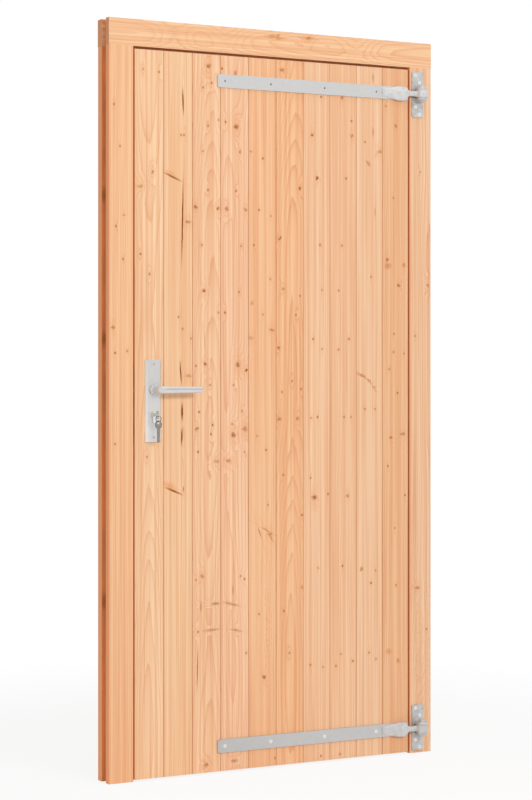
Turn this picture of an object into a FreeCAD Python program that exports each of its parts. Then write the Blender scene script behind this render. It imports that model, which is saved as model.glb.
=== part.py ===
import FreeCAD, Part
import os
import re
import Sketcher
from FreeCAD import Placement, Rotation, Vector

# Ledged and braced door in its frame, in millimetres.
# The origin is the centre of the hinge jamb's foot. Up is +Z, the front looks to -Y, the hinges are on +X.
SIZES = {
    # Frame: three timbers with a rebate for the leaf and a groove for the wall boards.
    "frame_width": 1100,
    "frame_height": 2200,
    "frame_depth": 77,
    "frame_face": 78,
    "front_lip": 21,
    "wall_groove_width": 29,
    "wall_groove_depth": 12,
    "rebate_width": 13,
    "arris": 2,
    # Gaps round the leaf.
    "lock_gap": 3.5,
    "hinge_gap": 6,
    "head_gap": 8,
    "floor_gap": 5,
    "stop_gap": 5,
    # Tongued and grooved boards.
    "board_count": 10,
    "board_thickness": 28,
    "board_vee": 1.5,
    "joint_gap": 0.4,
    "tongue_length": 8,
    "tongue_thickness": 8,
    "tongue_play": 0.4,
    # Ledges and braces behind the boards.
    "ledge_thickness": 28,
    "ledge_width": 140,
    "ledge_inset": 30,
    "ledge_bevel": 6,
    "top_ledge_drop": 15,
    "ledge_plate_gap": 19,
    "bottom_ledge_rise": 25,
    "brace_width": 110,
    "brace_setback": 15,
    # Cross hinges: jamb plate, lugs, pin, strap, arm and eye.
    "upper_hinge_drop": 161.5,
    "lower_hinge_rise": 79,
    "hinge_plate_width": 40,
    "hinge_plate_length": 140,
    "hinge_plate_thickness": 5,
    "hinge_plate_inset": 6,
    "hinge_axis_out": 2,
    "hinge_plate_corner": 4,
    "hinge_hole_outer": 60,
    "hinge_hole_inner": 38,
    "hinge_hole_side": 7.5,
    "hinge_standoff": 26,
    "pin_radius": 8,
    "pin_play": 0.1,
    "pin_head_radius": 9.4,
    "pin_head_height": 4,
    "pin_head_round": 3.4,
    "eye_radius": 18,
    "eye_length": 22,
    "lug_radius": 16.5,
    "lug_length": 10.5,
    "lug_round": 7,
    "lug_play": 0.5,
    "strap_width": 39,
    "strap_thickness": 6,
    "strap_share": 0.75,
    "strap_end_gap": 4,
    "strap_corner": 8,
    "strap_hole_tip": 24,
    "strap_hole_root": 153,
    "strap_hole_second": 0.295,
    "strap_hole_third": 0.65,
    "root_place": 9,
    "root_height": 20,
    "neck_height": 16,
    "neck_thickness": 13,
    "neck_setback": 5,
    "neck_start": 33,
    "neck_end": 43,
    "boss_start": 55,
    "boss_end": 68,
    "boss_height": 45,
    "boss_drop": 1,
    "boss_thickness": 17,
    "boss_sink": 3,
    "tail_place": 132,
    "tail_height": 25,
    "tail_thickness": 5,
    "screw_radius": 3.2,
    "countersink_radius": 6.2,
    "countersink_depth": 3,
    # Lever set, lock and keys.
    "lever_height": 1130,
    "backset": 57.5,
    "lock_centres": 72,
    "plate_width": 50,
    "plate_length": 238,
    "plate_above_lever": 87,
    "plate_thickness": 9,
    "plate_bevel": 5.5,
    "plate_hole_inset": 13,
    "plate_hole_radius": 2.6,
    "plate_hole_sink": 4.6,
    "plate_sink_depth": 2,
    "lever_length": 135,
    "lever_reach": 46,
    "lever_bend": 15,
    "lever_end_round": 4.6,
    "grip_height": 22,
    "grip_end_height": 17,
    "grip_thickness": 13,
    "collar_radius": 14,
    "collar_depth": 5,
    "collar_height": 7,
    "collar_play": 0.3,
    "spindle_side": 8,
    "spindle_room": 2,
    "cylinder_radius": 8.5,
    "cylinder_stem": 10,
    "cylinder_height": 33,
    "cylinder_proud": 3,
    "cylinder_play": 0.3,
    "keyway_width": 2.8,
    "keyway_height": 10.2,
    "keyway_depth": 31,
    "key_thickness": 2.2,
    "key_blade_width": 9.4,
    "key_bit_count": 4,
    "key_bit_start": 6,
    "key_bit_pitch": 5,
    "key_bit_side": 2.3,
    "key_blade_length": 29,
    "key_shoulder": 9,
    "key_bow_radius": 12,
    "key_hole_radius": 4.5,
    "key_hole_out": 5,
    "ring_radius": 8.5,
    "ring_wire": 0.9,
    "ring_slack": 3.2,
    "spare_turn": 30,
    "forend_width": 20,
    "forend_length": 235,
    "forend_thickness": 3,
    "bolt_proud": 0.8,
    "latch_height": 20,
    "latch_width": 12,
    "bolt_height": 34,
    "bolt_width": 10,
    "strike_width": 22,
    "strike_length": 190,
    "strike_thickness": 2,
    "strike_hole_room": 2,
    "strike_hole_depth": 16,
}

# Places worked out from the sizes.
PLACES = {
    "jamb_width": "frame_face + rebate_width",
    "right_x": "jamb_width / 2",
    "left_x": "right_x - frame_width",
    "mirror_x": "left_x + right_x",
    "front_y": "-frame_depth / 2",
    "back_y": "frame_depth / 2",
    "groove_front_y": "front_y + front_lip",
    "groove_back_y": "groove_front_y + wall_groove_width",
    "jamb_top": "frame_height - frame_face",
    "boards_back_y": "front_y + board_thickness",
    "stop_y": "boards_back_y + stop_gap",
    "hinge_edge_x": "right_x - frame_face",
    "lock_edge_x": "left_x + frame_face",
    "leaf_right": "hinge_edge_x - hinge_gap",
    "leaf_left": "lock_edge_x + lock_gap",
    "leaf_width": "leaf_right - leaf_left",
    "leaf_top": "jamb_top - head_gap",
    "leaf_height": "leaf_top - floor_gap",
    "board_pitch": "leaf_width / board_count",
    "tongue_y": "front_y + board_thickness / 2",
    "ledge_left": "leaf_left + ledge_inset",
    "ledge_right": "leaf_right - ledge_inset",
    "ledge_back_y": "boards_back_y + ledge_thickness",
    "top_ledge_rise": "leaf_top - top_ledge_drop - ledge_width",
    "middle_ledge_rise": "plate_bottom - ledge_plate_gap - ledge_width",
    "brace_span": "ledge_right - ledge_left - 2 * brace_setback",
    "upper_brace_rise": "top_ledge_rise - middle_ledge_rise - ledge_width",
    "lower_brace_rise": "middle_ledge_rise - bottom_ledge_rise - ledge_width",
    "hinge_plate_x": "hinge_edge_x + hinge_plate_inset + hinge_plate_width / 2",
    "hinge_x": "hinge_plate_x + hinge_axis_out",
    "hinge_y": "front_y - hinge_standoff",
    "upper_hinge_z": "frame_height - upper_hinge_drop",
    "lower_hinge_z": "lower_hinge_rise",
    "hinge_plate_y": "front_y - hinge_plate_thickness",
    "strap_y": "front_y - strap_thickness",
    "strap_reach": "strap_share * leaf_width",
    "strap_tip": "hinge_x - strap_reach",
    "strap_end": "leaf_right - strap_end_gap",
    "strap_hole_span": "strap_reach - strap_hole_tip - strap_hole_root",
    "lug_start": "eye_length / 2 + lug_play",
    "lug_end": "lug_start + lug_length",
    "lever_x": "leaf_left + backset",
    "outer_plate_y": "front_y - plate_thickness",
    "inner_plate_y": "boards_back_y + plate_thickness",
    "plate_bottom": "lever_height + plate_above_lever - plate_length",
    "plate_top": "lever_height + plate_above_lever",
    "cylinder_z": "lever_height - lock_centres",
    "cylinder_y": "outer_plate_y - cylinder_proud",
    "cylinder_length": "board_thickness + 2 * plate_thickness + 2 * cylinder_proud",
    "stem_bottom": "cylinder_z + cylinder_radius - cylinder_height",
    "key_bow_y": "cylinder_y - key_shoulder - key_bow_radius",
    "key_hole_y": "key_bow_y - key_hole_out",
    "ring_z": "cylinder_z - ring_slack - ring_radius",
    "spare_hole_z": "ring_z - ring_radius - ring_slack",
    "spare_bow_z": "spare_hole_z - key_hole_out",
    "forend_bottom": "lever_height - lock_centres / 2 - forend_length / 2",
    "strike_bottom": "lever_height - lock_centres / 2 - strike_length / 2",
}

ALONG = {
    "x": Rotation(Vector(0, 1, 0), 90),
    "y": Rotation(Vector(1, 0, 0), -90),
    "z": Rotation(),
}
AGAINST_Y = Rotation(Vector(1, 0, 0), 90)
UPRIGHT_ACROSS_X = Rotation(Vector(0, 1, 0), -90)
UPRIGHT_ALONG_X = Rotation(Vector(0, 0, 1), 180).multiply(UPRIGHT_ACROSS_X)
UPRIGHT_ACROSS_Y = Rotation(Vector(1, 1, 1), -120)
ON_EDGE = Rotation(Vector(1, 0, 0), 45)
NEAR = 1e-4
# Shares of the way along the arm, each with its share of the change in section.
EASING = ((0.2, 0.08), (0.4, 0.35), (0.6, 0.65), (0.8, 0.92))

doc = FreeCAD.newDocument("door")
subparts = []


def fill_sheet(name, cells):
    """Make a sheet with one named cell on each row."""
    sheet = doc.addObject("Spreadsheet::Sheet", name)
    for row, (alias, content) in enumerate(cells.items(), start=1):
        sheet.set(f"A{row}", alias)
        sheet.set(f"B{row}", str(content))
        sheet.setAlias(f"B{row}", alias)
    doc.recompute()
    return sheet


def formula(text):
    """Put the sheet's name before each named value of a formula."""
    def full_name(match):
        word = match.group(0)
        if word in SIZES:
            return "Size." + word
        if word in PLACES:
            return "Place." + word
        return word
    return re.sub(r"[a-z][a-z0-9_]*", full_name, text)


def value(text):
    """Work out a formula as a plain number, in a spare cell."""
    spare_cell.set("A1", "=" + formula(text))
    spare_cell.recompute()
    result = spare_cell.get("A1")
    return float(getattr(result, "Value", result))


def tie(item, **links):
    """Bind properties of an object to formulas."""
    for prop, text in links.items():
        item.setExpression(prop, formula(text))
    return item


def place(item, x, y, z, turn=None):
    """Bind an object's place to three formulas."""
    if turn is not None:
        item.Placement = Placement(Vector(), turn)
    for axis, text in zip("xyz", (x, y, z)):
        item.setExpression("Placement.Base." + axis, formula(text))
    return item


def name_subpart(item, label):
    """Give a finished sub-part its label and put it on the list to write."""
    item.Label = label
    subparts.append(item)
    return item


def box(name, length, width, height, x, y, z):
    item = doc.addObject("Part::Box", name)
    tie(item, Length=length, Width=width, Height=height)
    return place(item, x, y, z)


def rod(name, radius, length, x, y, z, along="z"):
    item = doc.addObject("Part::Cylinder", name)
    tie(item, Radius=radius, Height=length)
    return place(item, x, y, z, ALONG[along])


def fuse(name, items):
    item = doc.addObject("Part::MultiFuse", name)
    item.Shapes = items
    item.Refine = True
    return item


def cut(name, base, tools):
    item = doc.addObject("Part::Cut", name)
    item.Base = base
    item.Tool = tools[0] if len(tools) == 1 else fuse(name + "_tools", tools)
    return item


def screw_hole(name, x, y, z, depth, radius="screw_radius", head="countersink_radius",
               sink="countersink_depth", turn=ALONG["y"]):
    """Countersunk hole whose head is at the given place and which runs along its turn."""
    cone = doc.addObject("Part::Cone", name + "_sink")
    tie(cone, Radius1=head, Radius2=radius, Height=sink)
    place(cone, x, y, z, turn)
    shank = doc.addObject("Part::Cylinder", name + "_shank")
    tie(shank, Radius=radius, Height=depth)
    place(shank, x, y, z, turn)
    return fuse(name, [cone, shank])


def outline(body, name, plane, points):
    """Closed outline of straight runs, each corner tied to its two formulas."""
    sketch = body.newObject("Sketcher::SketchObject", name)
    support = next(item for item in body.Origin.OriginFeatures if item.Role == plane)
    sketch.AttachmentSupport = (support, [""])
    sketch.MapMode = "FlatFace"
    corners = [Vector(value(across), value(up), 0) for across, up in points]
    count = len(corners)
    for index, corner in enumerate(corners):
        sketch.addGeometry(Part.LineSegment(corner, corners[(index + 1) % count]))
    for index in range(count):
        sketch.addConstraint(Sketcher.Constraint("Coincident", index, 2, (index + 1) % count, 1))
    for index, (across, up) in enumerate(points):
        for kind, text in (("DistanceX", across), ("DistanceY", up)):
            number = sketch.addConstraint(Sketcher.Constraint(kind, -1, 1, index, 1, value(text)))
            sketch.setExpression(f"Constraints[{number}]", formula(text))
    return sketch


def prism(name, plane, points, length, reverse=False):
    """Body of one outline drawn out to a length."""
    body = doc.addObject("PartDesign::Body", name)
    pad = body.newObject("PartDesign::Pad", name + "_pad")
    pad.Profile = outline(body, name + "_outline", plane, points)
    pad.Reversed = reverse
    tie(pad, Length=length)
    body.Tip = pad
    return body


def edge_names(shape, test):
    return [f"Edge{index}" for index, edge in enumerate(shape.Edges, start=1) if test(edge)]


def jamb_outline(mirrored):
    """Section of a jamb, with its rebate, its wall groove and small bevels on its arrises."""
    points = [
        ("hinge_edge_x", "front_y + arris"),
        ("hinge_edge_x + arris", "front_y"),
        ("right_x - arris", "front_y"),
        ("right_x", "front_y + arris"),
        ("right_x", "groove_front_y"),
        ("right_x - wall_groove_depth", "groove_front_y"),
        ("right_x - wall_groove_depth", "groove_back_y"),
        ("right_x", "groove_back_y"),
        ("right_x", "back_y - arris"),
        ("right_x - arris", "back_y"),
        ("hinge_edge_x - rebate_width + arris", "back_y"),
        ("hinge_edge_x - rebate_width", "back_y - arris"),
        ("hinge_edge_x - rebate_width", "stop_y"),
        ("hinge_edge_x", "stop_y"),
    ]
    if mirrored:
        points = [(f"mirror_x - ({x})", y) for x, y in points]
    return points


def make_hinge_jamb():
    name_subpart(prism("hinge_jamb_body", "XY_Plane", jamb_outline(False), "jamb_top"), "hinge_jamb")


def strike_holes(name, x, depth):
    """Pockets for the latch and the bolt, from a given x to a given depth."""
    latch_y = "tongue_y - latch_width / 2 - strike_hole_room"
    latch_z = "lever_height - latch_height / 2 - strike_hole_room"
    bolt_y = "tongue_y - bolt_width / 2 - strike_hole_room"
    bolt_z = "cylinder_z - bolt_height / 2 - strike_hole_room"
    latch = box(name + "_latch", depth, "latch_width + 2 * strike_hole_room",
                "latch_height + 2 * strike_hole_room", x, latch_y, latch_z)
    bolt = box(name + "_bolt", depth, "bolt_width + 2 * strike_hole_room",
               "bolt_height + 2 * strike_hole_room", x, bolt_y, bolt_z)
    return [latch, bolt]


def make_lock_jamb():
    """Lock jamb with the strike plate let into its rebate."""
    body = prism("lock_jamb_body", "XY_Plane", jamb_outline(True), "jamb_top")
    bed_x = "lock_edge_x - strike_thickness"
    bed_y = "tongue_y - strike_width / 2"
    bed = box("strike_bed", "strike_thickness", "strike_width", "strike_length", bed_x, bed_y, "strike_bottom")
    pockets = strike_holes("jamb_hole", "lock_edge_x - strike_hole_depth", "strike_hole_depth")
    name_subpart(cut("lock_jamb_cut", body, [bed] + pockets), "lock_jamb")
    sheet = box("strike_sheet", "strike_thickness", "strike_width", "strike_length", bed_x, bed_y,
                "strike_bottom")
    name_subpart(cut("strike_cut", sheet, strike_holes("strike_hole", bed_x, "strike_thickness")),
                 "strike_plate")


def make_head():
    """Head over both jambs, grooved like them on top and at its ends, with its stop between theirs."""
    points = [
        ("front_y", "jamb_top"),
        ("back_y", "jamb_top"),
        ("back_y", "frame_height - arris"),
        ("back_y - arris", "frame_height"),
        ("groove_back_y", "frame_height"),
        ("groove_back_y", "frame_height - wall_groove_depth"),
        ("groove_front_y", "frame_height - wall_groove_depth"),
        ("groove_front_y", "frame_height"),
        ("front_y + arris", "frame_height"),
        ("front_y", "frame_height - arris"),
    ]
    bar = place(prism("head_bar", "YZ_Plane", points, "frame_width"), "left_x", "0", "0")
    stop_left = "lock_edge_x + rebate_width"
    stop = box("head_stop", f"hinge_edge_x - rebate_width - ({stop_left})", "back_y - stop_y", "rebate_width",
               stop_left, "stop_y", "jamb_top - rebate_width")
    ends = [box(name, "wall_groove_depth", "wall_groove_width", "frame_face", x, "groove_front_y", "jamb_top")
            for name, x in (("head_end_left", "left_x"), ("head_end_right", "right_x - wall_groove_depth"))]
    name_subpart(cut("head_cut", fuse("head_timber", [bar, stop]), ends), "head")


def board_outline(first, last):
    """Section of a board from its own left edge, with groove, tongue and vee joints."""
    width = "board_pitch" if last else "board_pitch - joint_gap"
    points = [
        ("0", "front_y + board_vee"),
        ("board_vee", "front_y"),
        (f"{width} - board_vee", "front_y"),
        (width, "front_y + board_vee"),
    ]
    if not last:
        tip = "board_pitch - joint_gap + tongue_length"
        points += [
            (width, "tongue_y - tongue_thickness / 2"),
            (tip, "tongue_y - tongue_thickness / 2"),
            (tip, "tongue_y + tongue_thickness / 2"),
            (width, "tongue_y + tongue_thickness / 2"),
        ]
    points += [
        (width, "boards_back_y - board_vee"),
        (f"{width} - board_vee", "boards_back_y"),
        ("board_vee", "boards_back_y"),
        ("0", "boards_back_y - board_vee"),
    ]
    if not first:
        floor = "tongue_length - joint_gap + tongue_play"
        points += [
            ("0", "tongue_y + tongue_thickness / 2 + tongue_play"),
            (floor, "tongue_y + tongue_thickness / 2 + tongue_play"),
            (floor, "tongue_y - tongue_thickness / 2 - tongue_play"),
            ("0", "tongue_y - tongue_thickness / 2 - tongue_play"),
        ]
    return points


def make_boards():
    """Boards of the leaf from the lock side to the hinge side; the first takes the lock."""
    count = int(SIZES["board_count"])
    for number in range(1, count + 1):
        label = f"board_{number:02d}"
        body = prism(label + "_body", "XY_Plane", board_outline(number == 1, number == count), "leaf_height")
        place(body, f"leaf_left + {number - 1} * board_pitch", "0", "floor_gap")
        if number == 1:
            spindle = rod("spindle_hole", "spindle_side / sqrt(2) + spindle_room", "board_thickness",
                          "lever_x", "front_y", "lever_height", "y")
            barrel = profile("barrel_hole", "cylinder_play", "front_y", "board_thickness")
            bed = box("forend_bed", "forend_thickness", "forend_width", "forend_length", "leaf_left",
                      "tongue_y - forend_width / 2", "forend_bottom")
            body = cut("board_lock_cut", body, [spindle, barrel, bed])
        name_subpart(body, label)


def make_ledges():
    """Ledges across the back, bevelled along their outer edges."""
    for label, foot in (("top_ledge", "top_ledge_rise"), ("middle_ledge", "middle_ledge_rise"),
                        ("bottom_ledge", "bottom_ledge_rise")):
        points = [
            ("boards_back_y", foot),
            ("ledge_back_y - ledge_bevel", foot),
            ("ledge_back_y", f"{foot} + ledge_bevel"),
            ("ledge_back_y", f"{foot} + ledge_width - ledge_bevel"),
            ("ledge_back_y - ledge_bevel", f"{foot} + ledge_width"),
            ("boards_back_y", f"{foot} + ledge_width"),
        ]
        body = prism(label + "_body", "YZ_Plane", points, "ledge_right - ledge_left")
        name_subpart(place(body, "ledge_left", "0", "0"), label)


def make_braces():
    """Braces that rise from the hinge side to the lock side, cut level where they meet the ledges."""
    for label, foot, rise in (("upper_brace", "middle_ledge_rise + ledge_width", "upper_brace_rise"),
                              ("lower_brace", "bottom_ledge_rise + ledge_width", "lower_brace_rise")):
        slope = f"(atan({rise} / brace_span) + asin(brace_width / sqrt(brace_span ^ 2 + {rise} ^ 2)))"
        level_cut = f"brace_width / sin{slope}"
        points = [
            (f"ledge_right - brace_setback - {level_cut}", foot),
            ("ledge_right - brace_setback", foot),
            (f"ledge_left + brace_setback + {level_cut}", f"{foot} + {rise}"),
            ("ledge_left + brace_setback", f"{foot} + {rise}"),
        ]
        body = prism(label + "_body", "XZ_Plane", points, "ledge_thickness", reverse=True)
        name_subpart(place(body, "0", "boards_back_y", "0"), label)


def make_hinge_plate(label, level):
    """Plate on the jamb with two lugs, bored for the pin, and four staggered screw holes."""
    corners = [
        ("hinge_plate_x - hinge_plate_width / 2", f"{level} - hinge_plate_length / 2"),
        ("hinge_plate_x + hinge_plate_width / 2", f"{level} - hinge_plate_length / 2"),
        ("hinge_plate_x + hinge_plate_width / 2", f"{level} + hinge_plate_length / 2"),
        ("hinge_plate_x - hinge_plate_width / 2", f"{level} + hinge_plate_length / 2"),
    ]
    body = prism(label + "_body", "XZ_Plane", corners, "hinge_plate_thickness")
    place(body, "0", "front_y", "0")
    round_corners(body, "hinge_plate_corner")
    pieces = [body]
    pieces.append(make_lug(label + "_upper_lug", f"{level} + lug_start", f"{level} + lug_end"))
    pieces.append(make_lug(label + "_lower_lug", f"{level} - lug_end", f"{level} - lug_end"))
    bore = rod(label + "_bore", "pin_radius + pin_play / 2", "2 * lug_end", "hinge_x", "hinge_y",
               f"{level} - lug_end")
    holes = [bore]
    stagger = (("a", -1, "hinge_hole_outer"), ("b", 1, "hinge_hole_inner"),
               ("c", -1, "-hinge_hole_inner"), ("d", 1, "-hinge_hole_outer"))
    for letter, side, rise in stagger:
        holes.append(screw_hole(f"{label}_hole_{letter}", f"hinge_plate_x + {side} * hinge_hole_side",
                                "hinge_plate_y", f"{level} + {rise}", "hinge_plate_thickness"))
    name_subpart(cut(label + "_cut", fuse(label + "_solid", pieces), holes), label)


def make_lug(name, foot, outer_face):
    """Lug from the plate round the pin, with the rim of its outer face rounded over."""
    barrel = rod(name + "_barrel", "lug_radius", "lug_length", "hinge_x", "hinge_y", foot)
    web = box(name + "_web", "2 * lug_radius", "hinge_standoff - hinge_plate_thickness", "lug_length",
              "hinge_x - lug_radius", "hinge_y", foot)
    solid = fuse(name + "_solid", [barrel, web])
    doc.recompute()
    rim_z = value(outer_face)
    plate_y = value("hinge_plate_y")
    rim = edge_names(solid.Shape, lambda edge: level_edge(edge, rim_z) and edge.BoundBox.YMin < plate_y - NEAR)
    radius = value("lug_round")
    rounded = doc.addObject("Part::Fillet", name)
    rounded.Base = solid
    rounded.Edges = [(int(edge[4:]), radius, radius) for edge in rim]
    return rounded


def level_edge(edge, z):
    """Whether an edge lies all at one height."""
    return abs(edge.BoundBox.ZMin - z) < NEAR and abs(edge.BoundBox.ZMax - z) < NEAR


def round_corners(body, radius, left_of=None):
    """Round the corners of a flat plate that was drawn out along Y, or only those left of a given place."""
    doc.recompute()
    pad = body.Tip
    limit = float("inf") if left_of is None else value(left_of)
    corners = edge_names(pad.Shape, lambda edge: edge.BoundBox.XMax < limit
                         and abs(abs(edge.tangentAt(edge.FirstParameter).y) - 1) < NEAR)
    fillet = body.newObject("PartDesign::Fillet", body.Name + "_corners")
    fillet.Base = (pad, corners)
    tie(fillet, Radius=radius)
    body.Tip = fillet
    return fillet


def make_pin(label, level):
    """Captive pin with a rounded head at each end."""
    points = [
        ("0", "-lug_end - pin_head_height"),
        ("pin_head_radius", "-lug_end - pin_head_height"),
        ("pin_head_radius", "-lug_end"),
        ("pin_radius", "-lug_end"),
        ("pin_radius", "lug_end"),
        ("pin_head_radius", "lug_end"),
        ("pin_head_radius", "lug_end + pin_head_height"),
        ("0", "lug_end + pin_head_height"),
    ]
    body = doc.addObject("PartDesign::Body", label + "_body")
    sketch = outline(body, label + "_outline", "XZ_Plane", points)
    turned = body.newObject("PartDesign::Revolution", label + "_turned")
    turned.Profile = sketch
    turned.ReferenceAxis = (sketch, ["V_Axis"])
    turned.Angle = 360
    doc.recompute()
    top = value("lug_end + pin_head_height")
    rims = edge_names(turned.Shape, lambda edge: level_edge(edge, top) or level_edge(edge, -top))
    rounded = body.newObject("PartDesign::Fillet", label + "_rims")
    rounded.Base = (turned, rims)
    tie(rounded, Radius="pin_head_round")
    body.Tip = rounded
    name_subpart(place(body, "hinge_x", "hinge_y", level), label)


def arm_section(name, level, out, behind, drop, height, thickness):
    """Upright oval across the arm, at a distance out from the pin, set behind it and dropped below it."""
    oval = doc.addObject("Part::Ellipse", name)
    tie(oval, MajorRadius=f"({height}) / 2", MinorRadius=f"({thickness}) / 2")
    return place(oval, f"hinge_x - ({out})", f"hinge_y + ({behind})", f"{level} - ({drop})", UPRIGHT_ACROSS_X)


def eased(one, other):
    """Sections between two sections, which leave the one and reach the other without a crease."""
    sections = []
    for along, share in EASING:
        shares = [along] + [share] * (len(one) - 1)
        sections.append(tuple(f"(({first}) * (1 - {part}) + ({second}) * {part})"
                              for first, second, part in zip(one, other, shares)))
    return sections


def make_strap(label, level):
    """Strap on the boards with a forged arm welded on it, which reaches over to the eye on the pin."""
    corners = [
        ("strap_tip", f"{level} - strap_width / 2"),
        ("strap_end", f"{level} - strap_width / 2"),
        ("strap_end", f"{level} + strap_width / 2"),
        ("strap_tip", f"{level} + strap_width / 2"),
    ]
    bar = prism(label + "_bar", "XZ_Plane", corners, "strap_thickness")
    place(bar, "0", "front_y", "0")
    round_corners(bar, "strap_corner", "strap_tip + strap_corner")
    face = "(hinge_standoff - strap_thickness)"
    boss_behind = f"{face} - boss_thickness / 2 + boss_sink"
    root = ("root_place", "neck_setback", "0", "root_height", "neck_thickness")
    neck = ("neck_start", "neck_setback", "0", "neck_height", "neck_thickness")
    throat = ("neck_end", "neck_setback", "0", "neck_height", "neck_thickness")
    boss = ("boss_start", boss_behind, "boss_drop", "boss_height", "boss_thickness")
    swell = ("boss_end", boss_behind, "boss_drop", "boss_height", "boss_thickness")
    tail = ("tail_place", face, "0", "tail_height", "tail_thickness")
    ovals = [root, neck, throat, *eased(throat, boss), boss, swell, *eased(swell, tail), tail]
    arm = doc.addObject("Part::Loft", label + "_arm")
    arm.Sections = [arm_section(f"{label}_oval_{number}", level, *sizes)
                    for number, sizes in enumerate(ovals, start=1)]
    arm.Solid = True
    arm.Ruled = True
    eye = rod(label + "_eye", "eye_radius", "eye_length", "hinge_x", "hinge_y", f"{level} - eye_length / 2")
    solid = fuse(label + "_solid", [bar, arm, eye])
    holes = [rod(label + "_bore", "pin_radius + pin_play", "eye_length", "hinge_x", "hinge_y",
                 f"{level} - eye_length / 2")]
    for number, share in enumerate(("0", "strap_hole_second", "strap_hole_third", "1"), start=1):
        holes.append(screw_hole(f"{label}_hole_{number}", f"strap_tip + strap_hole_tip + {share} * strap_hole_span",
                                "strap_y", level, "strap_thickness"))
    name_subpart(cut(label + "_cut", solid, holes), label)


def profile(name, play, y, length):
    """Round-topped profile of the lock cylinder, drawn out along Y with a play all round."""
    barrel = rod(name + "_barrel", f"cylinder_radius + {play}", length, "lever_x", y, "cylinder_z", "y")
    stem_middle = "stem_bottom + cylinder_stem / 2"
    stem = box(name + "_stem", f"cylinder_stem + 2 * {play}", length, f"cylinder_z - ({stem_middle})",
               f"lever_x - cylinder_stem / 2 - {play}", y, stem_middle)
    toe = rod(name + "_toe", f"cylinder_stem / 2 + {play}", length, "lever_x", y, stem_middle, "y")
    return fuse(name, [barrel, stem, toe])


def make_lever_plate(label, seat, face, outward):
    """Long plate with bevelled sides, bored for the lever and the cylinder. Outward is -1 in front, 1 behind."""
    shoulder = f"{seat} + {outward} * (plate_thickness - plate_bevel)"
    corners = [
        ("lever_x - plate_width / 2", seat),
        ("lever_x + plate_width / 2", seat),
        ("lever_x + plate_width / 2", shoulder),
        ("lever_x + plate_width / 2 - plate_bevel", face),
        ("lever_x - plate_width / 2 + plate_bevel", face),
        ("lever_x - plate_width / 2", shoulder),
    ]
    body = prism(label + "_body", "XY_Plane", corners, "plate_length")
    place(body, "0", "0", "plate_bottom")
    low = seat if outward > 0 else face
    turn = AGAINST_Y if outward > 0 else ALONG["y"]
    holes = [
        rod(label + "_lever_hole", "collar_radius + collar_play", "plate_thickness", "lever_x", low,
            "lever_height", "y"),
        profile(label + "_barrel_hole", "cylinder_play", low, "plate_thickness"),
    ]
    for name, z in (("top", "plate_top - plate_hole_inset"), ("foot", "plate_bottom + plate_hole_inset")):
        holes.append(screw_hole(f"{label}_{name}_hole", "lever_x", face, z, "plate_thickness",
                                "plate_hole_radius", "plate_hole_sink", "plate_sink_depth", turn))
    name_subpart(cut(label + "_cut", body, holes), label)


def make_lever(label, face, outward):
    """Lever: a round collar in its plate and an oval bar that bends over into a tapered grip."""
    inner = f"{face} - {outward} * collar_depth" if outward > 0 else f"{face} - collar_height"
    collar = rod(label + "_collar", "collar_radius", "collar_depth + collar_height", "lever_x", inner,
                 "lever_height", "y")
    x, z = value("lever_x"), value("lever_height")
    start_y = value(face) + outward * value("collar_height") / 2
    grip_y = value(face) + outward * value("lever_reach")
    bend = value("lever_bend")
    middle = bend * (1 - 0.5 ** 0.5)
    bend_start = Vector(x, grip_y - outward * bend, z)
    bend_middle = Vector(x + middle, grip_y - outward * middle, z)
    bend_end = Vector(x + bend, grip_y, z)
    grip_end = Vector(x + value("lever_length"), grip_y, z)
    edges = [
        Part.makeLine(Vector(x, start_y, z), bend_start),
        Part.Arc(bend_start, bend_middle, bend_end).toShape(),
        Part.makeLine(bend_end, grip_end),
    ]
    path = doc.addObject("Part::Feature", label + "_path")
    path.Shape = Part.Wire(edges)
    root = doc.addObject("Part::Ellipse", label + "_root")
    tie(root, MajorRadius="grip_height / 2", MinorRadius="grip_thickness / 2")
    place(root, "lever_x", f"{face} + {outward} * collar_height / 2", "lever_height", UPRIGHT_ACROSS_Y)
    tip = doc.addObject("Part::Ellipse", label + "_tip")
    tie(tip, MajorRadius="grip_end_height / 2", MinorRadius="grip_thickness / 2")
    place(tip, "lever_x + lever_length", f"{face} + {outward} * lever_reach", "lever_height",
          UPRIGHT_ACROSS_X if outward < 0 else UPRIGHT_ALONG_X)
    bar = doc.addObject("Part::Sweep", label + "_bar")
    bar.Sections = [root, tip]
    bar.Spine = (path, ["Edge1", "Edge2", "Edge3"])
    bar.Solid = True
    doc.recompute()
    at_end = edge_names(bar.Shape, lambda edge: abs(edge.BoundBox.XMin - grip_end.x) < NEAR)
    rounded = doc.addObject("Part::Fillet", label + "_rounded")
    rounded.Base = bar
    radius = value("lever_end_round")
    rounded.Edges = [(int(name[4:]), radius, radius) for name in at_end]
    name_subpart(fuse(label + "_solid", [collar, rounded]), label)


def make_spindle():
    """Square bar between the two levers, through the lock."""
    length = "board_thickness + 2 * plate_thickness - 2 * collar_depth"
    name_subpart(box("spindle_bar", "spindle_side", length, "spindle_side", "lever_x - spindle_side / 2",
                     "outer_plate_y + collar_depth", "lever_height - spindle_side / 2"), "lever_spindle")


def make_cylinder():
    """Profile cylinder through both plates, with its keyway in front."""
    solid = profile("cylinder_profile", "0", "cylinder_y", "cylinder_length")
    keyway = box("keyway", "keyway_width", "keyway_depth", "keyway_height", "lever_x - keyway_width / 2",
                 "cylinder_y", "cylinder_z - keyway_height / 2")
    name_subpart(cut("cylinder_cut", solid, [keyway]), "lock_cylinder")


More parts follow.
